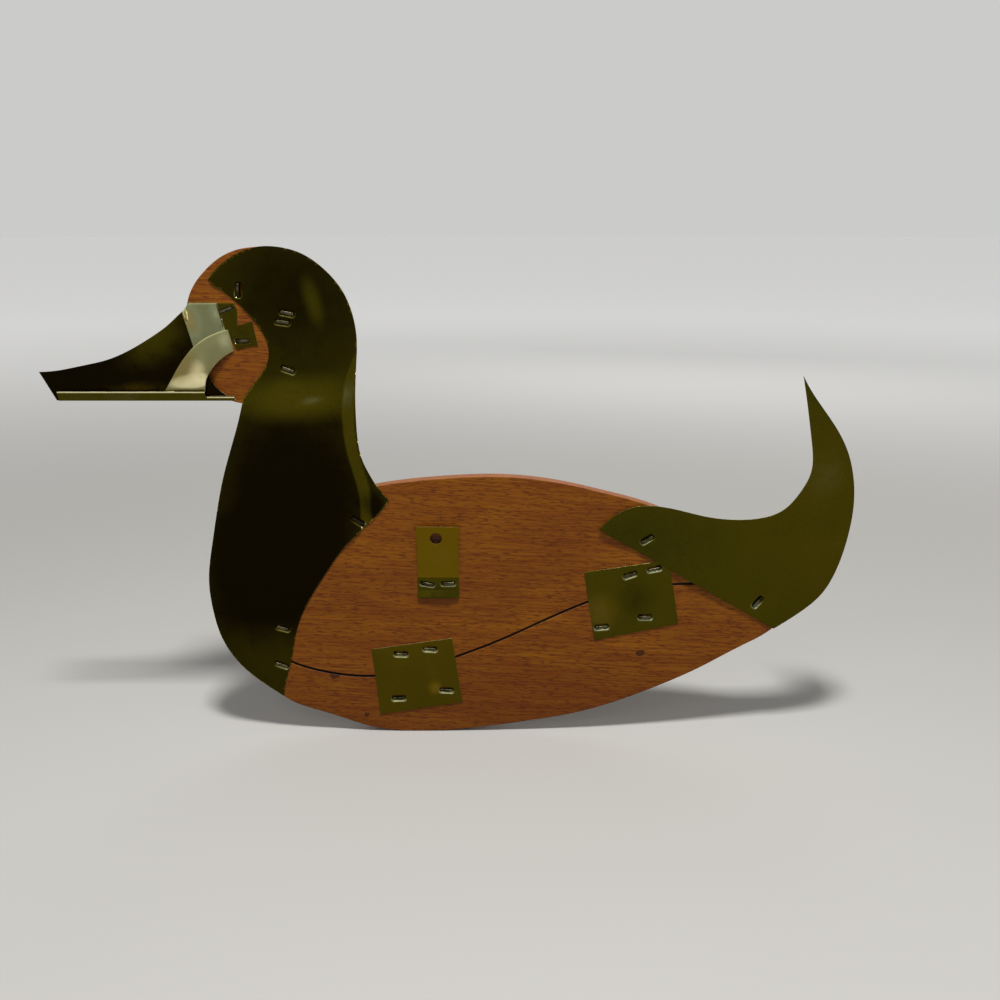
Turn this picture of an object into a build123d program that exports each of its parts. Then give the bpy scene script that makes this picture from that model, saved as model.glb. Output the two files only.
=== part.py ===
from build123d import *

import os

# Flat wall ornament in the shape of a duck: three thin wood boards joined and completed by
# sheet brass that is stapled to their back. All sizes are in millimetres.
#
# The frame: +X from the bill to the tail, +Z up as it hangs, -Y out of the back, which carries
# all the brass, and the origin at the centre of the nail hole in the hanger tab.
# The outlines are drawn on the back face of the boards, in the plane y = 0, with x = 0 at the
# front and z = 0 at the belly. Everything is moved to the nail hole at the end.

# Boards
board_thickness = 6.35
body_length = 247.0
body_height = 123.0
kerf_width = 1.0
head_width = 61.0
head_height = 67.0
head_rise = 155.5
head_lead = 18.0

# Sheet brass
sheet_thickness = 0.4
plate_width = 41.8
plate_height = 37.9
rear_plate_width = 43.6
rear_plate_height = 38.6
tail_staple_gap = 3.9
tail_length = 113.4
tail_rise = 64.7

# Hanger tab
tab_width = 18.8
tab_length = 34.0
tab_stand_off = 2.4
tab_foot_lift = 0.7
tab_bend_radius = 2.0
hanger_hole_radius = 2.7

# Bill
beak_length = 62.0
bill_root_lead = 3.0
bill_rise = 2.0
bill_stand_off = 2.0
bill_bend_radius = 6.0
fold_depth = 1.6
fold_radius = 0.7
lip_lean = 1.4
lip_height = 4.2
low_lip_height = 1.9

# Staples
crown_width = 5.8
wire_width = 1.2
wire_thickness = 0.95
crown_radius = 0.5
crown_stand = 0.35
staple_reach = 6.0
seat_margin = 0.5
seat_draft = 0.35
seat_corner = 0.5

# Clearances, and how far a cutting shape runs past what it cuts
fit_clearance = 0.05
tip_clearance = 0.2
overrun = 5.0

# Outline of the two body boards together, from the tip under the tail along the belly and back
# along the top, as shares of body_length and body_height
BODY_SHARES = [
    (0.972, 0.41), (0.918, 0.345), (0.845, 0.261), (0.771, 0.189), (0.697, 0.128), (0.622, 0.08),
    (0.546, 0.049), (0.47, 0.026), (0.38, 0.005), (0.3, 0.0), (0.222, 0.02), (0.147, 0.072),
    (0.063, 0.14), (0.03, 0.215), (0.008, 0.31), (0.0, 0.42), (0.006, 0.53), (0.026, 0.66),
    (0.069, 0.785), (0.154, 0.907), (0.255, 0.967), (0.362, 0.992), (0.455, 1.0), (0.56, 0.982),
    (0.668, 0.934), (0.741, 0.892), (0.842, 0.79), (0.935, 0.65), (0.985, 0.54), (1.0, 0.475),
]
# Line of the saw cut between the two body boards
KERF_SHARES = [
    (0.0, 0.35), (0.04, 0.322), (0.078, 0.284), (0.15, 0.24), (0.234, 0.226), (0.31, 0.252),
    (0.389, 0.305), (0.47, 0.371), (0.553, 0.451), (0.627, 0.518), (0.71, 0.572), (0.785, 0.59),
    (0.84, 0.594), (0.9, 0.588), (0.95, 0.573), (1.0, 0.55),
]
# Outline of the head board, as shares of head_width and head_height
HEAD_SHARES = [
    (0.01, 0.65), (0.06, 0.757), (0.151, 0.856), (0.26, 0.935), (0.41, 0.988), (0.53, 0.995),
    (0.72, 0.945), (0.9, 0.79), (0.985, 0.56), (0.955, 0.28), (0.78, 0.07), (0.56, 0.0),
    (0.37, 0.002), (0.265, 0.024), (0.15, 0.083), (0.075, 0.19), (0.028, 0.34), (0.004, 0.51),
]

# Outline of the head and neck sheet. What goes round the head is in shares of the head board,
# what lies on the body is in shares of the body, and what is between them is in shares of
# body_length and of the gap between the body and the head.
CROWN_HEAD_SHARES = [
    (0.22, 0.856), (0.293, 0.911), (0.365, 0.9515), (0.436, 0.979), (0.52, 0.999), (0.65, 1.0),
    (0.815, 0.962), (0.976, 0.862), (1.096, 0.731), (1.165, 0.575), (1.188, 0.42), (1.18, 0.26),
    (1.166, 0.05),
]
NAPE_NECK_SHARES = [(0.215, 0.757), (0.2176, 0.443), (0.2222, 0.268), (0.2314, 0.095)]
NAPE_BODY_SHARES = [(0.244, 0.979), (0.2695, 0.912)]
SHOULDER_BODY_SHARES = [
    (0.236, 0.834), (0.194, 0.754), (0.154, 0.647), (0.125, 0.557), (0.102, 0.471), (0.086, 0.363),
    (0.078, 0.283), (0.066, 0.2), (0.062, 0.146),
]
BREAST_BODY_SHARES = [
    (0.0185, 0.21), (-0.0215, 0.291), (-0.0477, 0.383), (-0.061, 0.49), (-0.065, 0.61),
    (-0.053, 0.762), (-0.0375, 0.913),
]
BREAST_NECK_SHARES = [(-0.022, 0.114), (-0.0047, 0.511)]
THROAT_HEAD_SHARE = (0.356, 0.003)
CHEEK_HEAD_SHARES = [
    (0.446, 0.132), (0.523, 0.223), (0.565, 0.339), (0.536, 0.4475), (0.458, 0.555), (0.35, 0.66),
    (0.275, 0.715), (0.2, 0.762), (0.168, 0.794),
]

# Tail sheet: its front and rear corners and its lower part, in shares of tail_length and of
# body_height, and its upper part, in shares of tail_length and of tail_rise
TAIL_PLACE_SHARE = 0.648
TAIL_WAIST_SHARE = 0.84
TAIL_FRONT_SHARE = (0.0, 0.8055)
TAIL_SADDLE_SHARES = [
    (0.03, 0.833), (0.1, 0.8765), (0.195, 0.8925), (0.306, 0.8785), (0.43, 0.851), (0.538, 0.8405),
    (0.644, 0.848),
]
TAIL_TIP_SHARES = [
    (0.722, 0.0675), (0.786, 0.194), (0.825, 0.3485), (0.826, 0.46), (0.817, 0.568), (0.793, 0.802),
    (0.77, 1.0),
]
TAIL_BACK_SHARES = [(0.821, 0.856), (0.893, 0.689), (0.955, 0.508), (0.991, 0.298), (1.0, 0.1)]
TAIL_LOW_SHARES = [(0.985, 0.7695), (0.954, 0.6577), (0.905, 0.563), (0.822, 0.487), (0.718, 0.419)]

# Corners of the two joining plates, as shares of their widths and heights
PLATE_SHARES = [(0.0, 0.857), (0.89, 1.0), (1.0, 0.164), (0.08, 0.0)]
REAR_PLATE_SHARES = [(0.0, 0.852), (0.879, 1.0), (1.0, 0.215), (0.12, 0.0)]

# Lower front corner of the box of each sheet part, as shares of the body. The rear plate hangs by
# its upper rear staple, tail_staple_gap below the straight edge of the tail.
PLATE_PLACE_SHARES = (0.2296, 0.0715)
REAR_PLATE_PLACE_SHARE = 0.624
TAB_PLACE_SHARES = (0.318, 0.5415)

# Hanger tab: the hole, and how far up the two bends are
HOLE_SHARES = (0.464, 0.835)
TAB_BEND_SHARE = 0.32
TAB_FOOT_SHARE = 0.115

# Bill: how far its root reaches over the head board, and how tall it is beside it
ROOT_REACH_SHARE = 0.5
BILL_HEIGHT_SHARE = 0.627
# Points on the root as shares of its length and height, from its front
LUG_SHARES = [(0.6985, 0.988), (0.74, 0.929), (0.735, 0.755), (0.614, 0.7)]
HIDDEN_EDGE_SHARES = [
    (0.433, 0.6), (0.36, 0.48), (0.335, 0.34), (0.36, 0.225), (0.44, 0.12), (0.54, 0.055), (0.634, 0.0),
]
BROW_SHARES = [(0.021, 0.883), (0.0985, 0.943), (0.128, 0.993)]
# Its two bends, where they would reach the bottom, and how far forward they run up the bill
LUG_BEND_SHARE = 0.79
SIDE_BEND_SHARE = 0.33
BEND_LEAN_SHARE = 0.31
STRAP_TOP_SHARES = [
    (-0.209, 0.193), (-0.0925, 0.338), (0.036, 0.49), (0.212, 0.602), (0.46, 0.684), (0.63, 0.733),
    (0.925, 0.805),
]
STRAP_END_SHARE = (0.985, 0.552)
STRAP_LOW_SHARES = [(0.703, 0.512), (0.4896, 0.41), (0.337, 0.276), (0.2896, 0.162), (0.2955, 0.069)]
STRAP_FOOT_SHARES = [(0.2955, 0.0), (-0.257, 0.0), (-0.257, 0.112)]
STRAP_HINGE_SHARES = (-0.28, 0.3)
STRAP_BEND_SHARES = [(0.594, 0.707), (0.687, 0.555)]
LIP_END_SHARE = 0.67
# Points on the free part as shares of its length and of the bill's height, from the root on
BEAK_LOW_SHARES = [(0.887, 0.0), (0.9, 0.036), (0.9935, 0.295)]
BEAK_TOP_SHARES = [
    (0.839, 0.315), (0.697, 0.357), (0.513, 0.419), (0.363, 0.51), (0.182, 0.662), (0.0726, 0.774),
]
LIP_START_SHARE = 0.865

# Staples of each piece: centre as shares of the piece's box, or of the head board or the body for
# the head and neck sheet and the tail, and the crown's angle in degrees, from +X towards +Z
HEAD_STAPLE_SHARES = [(0.371, 0.731, 88), (0.705, 0.587, -12), (0.67, 0.53, -8), (0.693, 0.225, -20)]
BREAST_STAPLE_SHARES = [(0.212, 0.834, -33), (0.066, 0.419, -15), (0.0605, 0.272, -20)]
BILL_STAPLE_SHARES = [(0.591, 0.919, 20), (0.788, 0.605, 3)]
PLATE_STAPLE_SHARES = [(0.323, 0.791, -2), (0.646, 0.856, -3), (0.289, 0.209, 3), (0.822, 0.316, -3)]
REAR_PLATE_STAPLE_SHARES = [(0.73, 0.89, 12), (0.479, 0.815, 20), (0.196, 0.165, 5), (0.65, 0.291, 0)]
TAB_STAPLE_SHARES = [(0.236, 0.19, -10), (0.74, 0.195, 2)]
TAIL_STAPLE_SHARES = [(0.7376, 0.7647, 32), (0.9455, 0.5232, 50)]


# Where the middle point of an arc is taken between its ends
ARC_MIDDLE_SHARE = 0.5


def on_body(x_share, z_share):
    """Point on the back, placed by shares of the body."""
    return (body_length * x_share, body_height * z_share)


def on_head(x_share, z_share):
    """Point on the back, placed by shares of the head board."""
    return (head_width * x_share - head_lead, head_rise + head_height * z_share)


def on_neck(x_share, z_share):
    """Point between the body and the head, by shares of the body's length and of that gap."""
    return (body_length * x_share, body_height + (head_rise - body_height) * z_share)


def on_tail_root(x_share, z_share):
    """Point on the lower part of the tail, which is cut to suit the body."""
    return (body_length * TAIL_PLACE_SHARE + tail_length * x_share, body_height * z_share)


def on_tail_tip(x_share, z_share):
    """Point on the upper part of the tail."""
    return (on_tail_root(x_share, 0)[0], body_height * TAIL_WAIST_SHARE + tail_rise * z_share)


def tail_edge(x):
    """Height of the tail's straight edge at a distance from the front of the body."""
    front_x, front_z = on_tail_root(*TAIL_FRONT_SHARE)
    rear_x, rear_z = on_tail_root(*TAIL_LOW_SHARES[-1])
    return front_z + (rear_z - front_z) * (x - front_x) / (rear_x - front_x)


def rear_plate_place():
    """Lower front corner of the rear plate's box, with the plate's upper rear staple off the tail."""
    x_share, z_share, angle = REAR_PLATE_STAPLE_SHARES[0]
    front = on_body(REAR_PLATE_PLACE_SHARE, 0)[0]
    staple_z = tail_edge(front + rear_plate_width * x_share) - tail_staple_gap
    return (front, staple_z - rear_plate_height * z_share)


def in_box(place, width, height):
    """Function that places points by shares of a box whose lower front corner is a point."""
    return lambda x_share, z_share: (place[0] + width * x_share, place[1] + height * z_share)


root_place = (-head_lead - bill_root_lead, head_rise + bill_rise)
root_length = bill_root_lead + head_width * ROOT_REACH_SHARE
bill_height = head_height * BILL_HEIGHT_SHARE
sheet_middle = -sheet_thickness / 2
crown_depth = wire_thickness - crown_stand
tail_level = -sheet_thickness - sheet_thickness

on_plate = in_box(on_body(*PLATE_PLACE_SHARES), plate_width, plate_height)
on_rear_plate = in_box(rear_plate_place(), rear_plate_width, rear_plate_height)
on_tab = in_box(on_body(*TAB_PLACE_SHARES), tab_width, tab_length)
on_root = in_box(root_place, root_length, bill_height)
on_beak = in_box(root_place, -beak_length, bill_height)


def places(function, shares):
    """Points that a placing function gives for a list of shares."""
    return [function(*share) for share in shares]


def rounded(points, closed=False):
    """Arcs that follow a smooth curve through points, two of them from each point to the next."""
    curve = Spline(*points, periodic=closed)
    count = 2 * (len(points) - 1)
    ends = [curve @ (index / count) for index in range(count)] + [curve @ 1]
    middles = [curve @ ((index + ARC_MIDDLE_SHARE) / count) for index in range(count)]
    return [ThreePointArc(*arc).edge() for arc in zip(ends, middles, ends[1:])]


def outline(*runs):
    """Face in the plane of the back, bounded by runs of points that follow each other.

    A run of one point is a straight line from the end of the run before it, and a longer run
    is a smooth curve through its points.
    """
    edges = []
    start = runs[-1][-1]
    for run in runs:
        points = [(x, 0, z) for x, z in [start] + list(run)]
        edges += [Line(*points).edge()] if len(points) == 2 else rounded(points)
        start = run[-1]
    return make_face(edges)


def straight(points):
    """Runs that join points by straight lines."""
    return [[point] for point in points]


def slab(face, near, far):
    """Solid of a flat outline, from the depth near to the depth far."""
    return extrude(face.moved(Location((0, near, 0))), amount=far - near, dir=(0, 1, 0))


def block(low, high):
    """Box between two opposite corners."""
    size = [end - start for start, end in zip(low, high)]
    centre = [(start + end) / 2 for start, end in zip(low, high)]
    return Location(centre) * Box(*size)


def bent_strip(points, radius, plane, low, high, lean=0):
    """Strip of sheet along a bent line through its middle, across the plane from low to high.

    The bends run straight across, or lean along the plane's x axis by the given slope.
    """
    face = trace(FilletPolyline(*points, radius=radius), line_width=sheet_thickness)
    height = high - low
    strip = Solid.extrude(face.face(), Vector(lean * height, 0, height))
    return plane.location * Location((0, 0, low)) * strip


def seat_frustum(near, far, near_margin, far_margin):
    """Pocket under a crown with cut corners, whose margins round the wire are given at two depths."""
    ends = []
    for depth, margin in ((near, near_margin), (far, far_margin)):
        mouth = Rectangle(crown_width + margin + margin, wire_width + margin + margin)
        mouth = chamfer(mouth.vertices(), length=seat_corner)
        ends.append(Location((0, depth, 0), (90, 0, 0)) * mouth.face())
    return loft(ends, ruled=True)


def leg_holes(reach):
    """Cutters for the two leg holes of a staple, from its sheet's outer face to a depth."""
    spread = (crown_width - wire_thickness) / 2
    across = wire_thickness / 2 + fit_clearance
    along = wire_width / 2 + fit_clearance
    middles = [-spread, spread]
    return [block((x - across, 0, -along), (x + across, reach, along)) for x in middles]


def staple():
    """Wire staple: a crown along X that stands proud of y = 0, and two legs."""
    tip = staple_reach - crown_stand
    body = block((-crown_width / 2, -crown_stand, -wire_width / 2), (crown_width / 2, tip, wire_width / 2))
    body = fillet(body.edges().filter_by(Axis.Z).group_by(Axis.Y)[0], radius=crown_radius)
    gap = crown_width / 2 - wire_thickness
    return body - block((-gap, crown_depth, -wire_width), (gap, tip + overrun, wire_width))


def at_spot(shape, spot, level):
    """A shape built round the origin, moved and turned to a staple's place and depth."""
    (x, z), angle = spot
    return Location((x, level, z)) * Rotation(0, -angle, 0) * shape


def staple_spots(function, shares):
    """Centre and angle of each staple of a list."""
    return [(function(x_share, z_share), angle) for x_share, z_share, angle in shares]


def stapled(sheet, spots, level):
    """A sheet with a dimple and two leg holes for each staple. Its outer face is at the level."""
    recess = seat_frustum(0, crown_depth, seat_margin, seat_margin - seat_draft)
    boss = seat_frustum(
        sheet_thickness,
        crown_depth + sheet_thickness,
        seat_margin,
        seat_margin - seat_draft + sheet_thickness / 2,
    )
    for spot in spots:
        sheet = sheet + at_spot(boss, spot, level)
        for cut in [recess] + leg_holes(crown_depth + sheet_thickness + overrun):
            sheet = sheet - at_spot(cut, spot, level)
    return sheet


def drilled(board, spots, level):
    """A board with a seat for each dimple and the holes of the legs."""
    seat = seat_frustum(
        sheet_thickness,
        crown_depth + sheet_thickness + fit_clearance,
        seat_margin + fit_clearance,
        seat_margin - seat_draft + sheet_thickness / 2 + fit_clearance,
    )
    for spot in spots:
        for cut in [seat] + leg_holes(staple_reach - crown_stand + tip_clearance):
            board = board - at_spot(cut, spot, level)
    return board


def body_boards():
    """The upper and the lower body board, on the two sides of the saw cut."""
    whole = slab(outline(places(on_body, BODY_SHARES)), 0, board_thickness)
    boards = []
    for side, limit in ((1, body_height + overrun), (-1, -overrun)):
        edge = [(x, z + side * kerf_width / 2) for x, z in places(on_body, KERF_SHARES)]
        start = (-overrun, edge[0][1])
        end = (body_length + overrun, edge[-1][1])
        region = outline([end], [(end[0], limit)], [(start[0], limit)], [start], [edge[0]], edge[1:])
        boards.append(whole & slab(region, -overrun, board_thickness + overrun))
    return boards


def head_board():
    """The head board, one closed smooth curve."""
    points = [(x, 0, z) for x, z in places(on_head, HEAD_SHARES)]
    return slab(make_face(rounded(points, closed=True)), 0, board_thickness)


def neck_sheet():
    """Sheet over the head, the neck and the breast, cut out round the cheek."""
    face = outline(
        places(on_head, CROWN_HEAD_SHARES)
        + places(on_neck, NAPE_NECK_SHARES)
        + places(on_body, NAPE_BODY_SHARES),
        places(on_body, SHOULDER_BODY_SHARES),
        places(on_body, BREAST_BODY_SHARES)
        + places(on_neck, BREAST_NECK_SHARES)
        + [on_head(*THROAT_HEAD_SHARE)],
        places(on_head, CHEEK_HEAD_SHARES),
    )
    return slab(face, -sheet_thickness, 0)


def tail():
    """Tail sheet, one sheet above the back because it laps the rear joining plate."""
    face = outline(
        places(on_tail_root, TAIL_SADDLE_SHARES) + places(on_tail_tip, TAIL_TIP_SHARES),
        places(on_tail_tip, TAIL_BACK_SHARES) + places(on_tail_root, TAIL_LOW_SHARES),
        [on_tail_root(*TAIL_FRONT_SHARE)],
    )
    return slab(face, tail_level, tail_level + sheet_thickness)


def joining_plate(function, shares):
    """Four-cornered plate across the saw cut."""
    return slab(outline(*straight(places(function, shares))), -sheet_thickness, 0)


def hole_plane():
    """Plane of the nail hole: on the middle of the leaning tab, with its axis out of the back."""
    x, z = on_tab(*HOLE_SHARES)
    bend = on_tab(0, TAB_BEND_SHARE)[1]
    top = on_tab(0, 1)[1]
    slope = tab_stand_off / (top - bend)
    return Plane(origin=(x, sheet_middle - slope * (z - bend), z), x_dir=(1, 0, 0), z_dir=(0, -1, -slope))


def hanger():
    """Hanger tab, which leans out from its stapled part so that a nail's head fits behind it."""
    low, foot, bend, top = [on_tab(0, share)[1] for share in (0, TAB_FOOT_SHARE, TAB_BEND_SHARE, 1)]
    line = [
        (sheet_middle - tab_foot_lift, low),
        (sheet_middle, foot),
        (sheet_middle, bend),
        (sheet_middle - tab_stand_off, top),
    ]
    front = on_tab(0, 0)[0]
    tab = bent_strip(line, tab_bend_radius, Plane.YZ, front, front + tab_width)
    return tab - hole_plane().location * Cylinder(hanger_hole_radius, overrun)


def bead(start, end):
    """Round edge where two flat stretches of sheet meet in a bend."""
    direction = Vector(*end) - Vector(*start)
    plane = Plane(origin=start, z_dir=direction)
    centred = (Align.CENTER, Align.CENTER, Align.MIN)
    return plane.location * Cylinder(sheet_thickness / 2, direction.length, align=centred)


def widened(start, end):
    """The ends of a line drawn out by its own length on both sides."""
    reach = Vector(*end) - Vector(*start)
    return tuple(Vector(*start) - reach), tuple(Vector(*end) + reach)


def strap(foot_depth, foot_height):
    """Strap from the lip back to the head: a twisted band that ends in a flat tab."""
    depth = overrun - foot_depth
    plan = outline(
        places(on_root, STRAP_TOP_SHARES),
        [on_root(*STRAP_END_SHARE)],
        places(on_root, STRAP_LOW_SHARES),
        *straight(places(on_root, STRAP_FOOT_SHARES)),
    )
    prism = slab(plan, -depth, depth)
    hinge = [(on_root(share, 0)[0], foot_depth, foot_height) for share in STRAP_HINGE_SHARES]
    bend = [(x, sheet_middle, z) for x, z in places(on_root, STRAP_BEND_SHARES)]
    hinge_line = widened(*hinge)
    bend_line = widened(*bend)
    band = Face.make_surface_from_curves(Line(*hinge_line).edge(), Line(*bend_line).edge())
    band = thicken(band, amount=sheet_thickness / 2, both=True)
    beyond = [(x, z) for x, y, z in bend_line]
    region = outline(*straight(beyond + [(x + root_length, z) for x, z in beyond[::-1]]))
    flat = slab(region, -sheet_thickness, 0)
    return (band + bead(*hinge_line) + bead(*bend_line) + flat) & prism


def bill():
    """Folded bill: a lug on the head, a side that stands off it, a fold with a lip, and a strap."""
    floor = root_place[1]
    side = sheet_middle - bill_stand_off
    lip_foot = side - fold_depth
    lip_edge = lip_foot - lip_lean
    low = floor + fold_radius + sheet_thickness / 2
    bottom = floor + sheet_thickness / 2
    top = floor + lip_height
    depth = overrun - lip_edge

    lean = root_length * BEND_LEAN_SHARE / bill_height
    line = [
        (on_root(1 + BEND_LEAN_SHARE, 0)[0], sheet_middle),
        (on_root(LUG_BEND_SHARE, 0)[0], sheet_middle),
        (on_root(SIDE_BEND_SHARE, 0)[0], side),
        (on_beak(1, 0)[0] - overrun, side),
    ]
    plan = outline(
        *straight(places(on_root, LUG_SHARES)),
        places(on_root, HIDDEN_EDGE_SHARES),
        *straight(places(on_beak, BEAK_LOW_SHARES)),
        places(on_beak, BEAK_TOP_SHARES) + places(on_root, BROW_SHARES),
    )
    cheek = bent_strip(line, bill_bend_radius, Plane.XY, floor, floor + bill_height + overrun, -lean)
    cheek = cheek & slab(plan, -depth, depth)

    start = on_beak(LIP_START_SHARE, 0)[0]
    end = on_root(LIP_END_SHARE, 0)[0]
    strap_side = on_root(*STRAP_FOOT_SHARES[0])[0]
    cheek = cheek - block((start, -depth, floor - overrun), (end, depth, low))
    fold_line = [(side, top), (side, bottom), (lip_foot, bottom), (lip_edge, top)]
    fold = bent_strip(fold_line, fold_radius, Plane.YZ, start, end)
    fold = fold - block((strap_side, -depth, floor + low_lip_height), (end + overrun, depth, top + overrun))
    return cheek + fold + strap(lip_edge, top)


head_spots = staple_spots(on_head, HEAD_STAPLE_SHARES)
breast_spots = staple_spots(on_body, BREAST_STAPLE_SHARES)
bill_spots = staple_spots(on_root, BILL_STAPLE_SHARES)
plate_spots = staple_spots(on_plate, PLATE_STAPLE_SHARES)
rear_plate_spots = staple_spots(on_rear_plate, REAR_PLATE_STAPLE_SHARES)
tab_spots = staple_spots(on_tab, TAB_STAPLE_SHARES)
tail_spots = staple_spots(on_body, TAIL_STAPLE_SHARES)
flat_spots = breast_spots + plate_spots + rear_plate_spots + tab_spots

upper_board, lower_board = [
    drilled(drilled(board, flat_spots, -sheet_thickness), tail_spots, tail_level) for board in body_boards()
]
shapes = {
    "wood_head": drilled(head_board(), head_spots + bill_spots, -sheet_thickness),
    "wood_body_upper": upper_board,
    "wood_body_lower": lower_board,
    "head_neck_sheet": stapled(neck_sheet(), head_spots + breast_spots, -sheet_thickness),
    "bill": stapled(bill(), bill_spots, -sheet_thickness),
    "tail_sheet": stapled(tail(), tail_spots, tail_level),
    "hanger_tab": stapled(hanger(), tab_spots, -sheet_thickness),
    "front_joining_plate": stapled(joining_plate(on_plate, PLATE_SHARES), plate_spots, -sheet_thickness),
    "rear_joining_plate": stapled(
        joining_plate(on_rear_plate, REAR_PLATE_SHARES), rear_plate_spots, -sheet_thickness
    ),
}
staple_groups = {
    "head_staples": (head_spots, -sheet_thickness),
    "breast_staples": (breast_spots, -sheet_thickness),
    "bill_staples": (bill_spots, -sheet_thickness),
    "front_plate_staples": (plate_spots, -sheet_thickness),
    "rear_plate_staples": (rear_plate_spots, -sheet_thickness),
    "hanger_staples": (tab_spots, -sheet_thickness),
    "tail_staples": (tail_spots, tail_level),
}
for name, (spots, level) in staple_groups.items():
    shapes[name] = Compound([at_spot(staple(), spot, level) for spot in spots])

os.makedirs("parts", exist_ok=True)
to_hole = Location(-hole_plane().origin)
for name, shape in shapes.items():
    export_step(to_hole * shape, f"parts/{name}.step")
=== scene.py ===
"""Looks of a flat duck wall ornament: stained wood boards with stapled sheet brass.

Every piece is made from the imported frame: its outline and place come from the CAD node that it
stands for, in metres, with +X towards the tail, +Z up and the stapled back facing -Y.
"""

import logging
import math
from collections.abc import Callable, Iterable, Iterator
from contextlib import contextmanager
from dataclasses import dataclass, field
from enum import Enum
from typing import Any

import bmesh
import bpy
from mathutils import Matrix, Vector, noise


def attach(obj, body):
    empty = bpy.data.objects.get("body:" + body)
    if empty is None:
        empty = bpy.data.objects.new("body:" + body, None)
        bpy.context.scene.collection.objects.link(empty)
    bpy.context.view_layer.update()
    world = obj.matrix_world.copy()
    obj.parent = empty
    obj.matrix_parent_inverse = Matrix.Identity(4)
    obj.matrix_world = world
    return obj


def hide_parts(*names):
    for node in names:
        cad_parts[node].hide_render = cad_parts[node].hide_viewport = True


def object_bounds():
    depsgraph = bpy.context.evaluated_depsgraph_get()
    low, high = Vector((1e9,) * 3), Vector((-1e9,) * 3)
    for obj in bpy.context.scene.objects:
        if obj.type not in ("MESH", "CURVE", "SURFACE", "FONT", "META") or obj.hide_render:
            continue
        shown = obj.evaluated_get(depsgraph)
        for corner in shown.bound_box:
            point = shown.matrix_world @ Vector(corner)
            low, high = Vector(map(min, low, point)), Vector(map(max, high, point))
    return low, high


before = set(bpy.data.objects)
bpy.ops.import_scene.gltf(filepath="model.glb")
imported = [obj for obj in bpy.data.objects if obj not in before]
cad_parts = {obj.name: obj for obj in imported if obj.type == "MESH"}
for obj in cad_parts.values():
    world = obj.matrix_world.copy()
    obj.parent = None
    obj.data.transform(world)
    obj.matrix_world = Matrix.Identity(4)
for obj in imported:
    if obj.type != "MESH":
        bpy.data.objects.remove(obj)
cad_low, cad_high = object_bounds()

log = logging.getLogger("duck_ornament")

MM = 0.001
FLAT_AREA = 60 * MM * MM
SMOOTH_ANGLE = math.radians(38)
FLAT_ANGLE = math.radians(0.5)
MERGE_REACH = 0.002 * MM
SAME_LEVEL = 0.01 * MM
CROWN_HALF_WIDTH = 0.6 * MM
CROWN_LEVEL = 0.02 * MM
OUTWARD = -0.9
BODY = "root"
TONE = "tone"
WARMTH = "warmth"
JOINT = "joint"

# The bill's lip in millimetres: its top, its front, and the heights of its edge that gets a painted
# highlight, which are divided at a place along X
LIP_TOP = 66.9
LIP_FRONT = -1.9
LIP_DIVIDE = -98.0
LIP_LINES = (66.2, 63.9)

Piece = bpy.types.Object
Material = bpy.types.Material
Triple = tuple[float, float, float]
Line = tuple[tuple[float, float], ...]


class Slot(Enum):
    """Material slots of the record."""

    BRASS = "sheet_brass"
    WOOD = "stained_wood"
    WIRE = "staple_wire"


# Shader maths


def _operator(operation: str) -> Callable[["Value", Any], "Value"]:
    """Method that puts a value and a number or another value through a Math node."""
    return lambda first, second: first.maths(operation, first, second)


class Value:
    """An output socket of a node, used like a number in Python expressions."""

    def __init__(self, nodes: "Nodes", socket: bpy.types.NodeSocket) -> None:
        """Wrap an output socket of a tree."""
        self.nodes = nodes
        self.socket = socket

    def maths(self, operation: str, *values: Any) -> "Value":
        """Result of a Math node, whose operands are numbers or values."""
        return self.nodes.node("ShaderNodeMath", {"operation": operation}, dict(enumerate(values)))

    __add__ = __radd__ = _operator("ADD")
    __sub__ = _operator("SUBTRACT")
    __mul__ = _operator("MULTIPLY")
    __truediv__ = _operator("DIVIDE")
    __pow__ = _operator("POWER")

    def __rsub__(self, other: Any) -> "Value":
        """Difference of a number and this value."""
        return self.maths("SUBTRACT", other, self)

    def __abs__(self) -> "Value":
        """Size of the value without its sign."""
        return self.maths("ABSOLUTE", self)

    def ramp(self, start: float, end: float) -> "Value":
        """Smooth step of the value.

        Args:
            start: Where the result is 0.
            end: Where the result is 1. It may be below start.

        Returns:
            A mask from 0 to 1.
        """
        low, high = (start, end) if start < end else (end, start)
        settings = {"interpolation_type": "SMOOTHSTEP"}
        inputs = {"Value": self, "From Min": low, "From Max": high}
        mask = self.nodes.node("ShaderNodeMapRange", settings, inputs)
        return mask if start < end else 1 - mask


class Nodes:
    """Node tree of a material or of the world."""

    def __init__(self, tree: bpy.types.NodeTree) -> None:
        """Start from a tree that already has its output."""
        self.tree = tree

    def connect(self, socket: bpy.types.NodeSocket, value: Any) -> None:
        """Link a value to an input, or set a plain number or colour on it.

        Args:
            socket: The input.
            value: A Value, an output socket, a number, or a tuple.
        """
        if isinstance(value, Value):
            value = value.socket
        if isinstance(value, bpy.types.NodeSocket):
            self.tree.links.new(value, socket)
        else:
            socket.default_value = value

    def node(self, kind: str, settings: dict, inputs: dict, output: Any = 0) -> Value:
        """Add a node.

        Args:
            kind: Type of the node.
            settings: Properties, which are set first.
            inputs: Values or links, by socket name or number.
            output: Name or number of the output that is returned.

        Returns:
            The output.
        """
        node = self.tree.nodes.new(kind)
        for key, value in settings.items():
            setattr(node, key, value)
        for key, value in inputs.items():
            self.connect(node.inputs[key], value)
        return Value(self, node.outputs[output])


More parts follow.
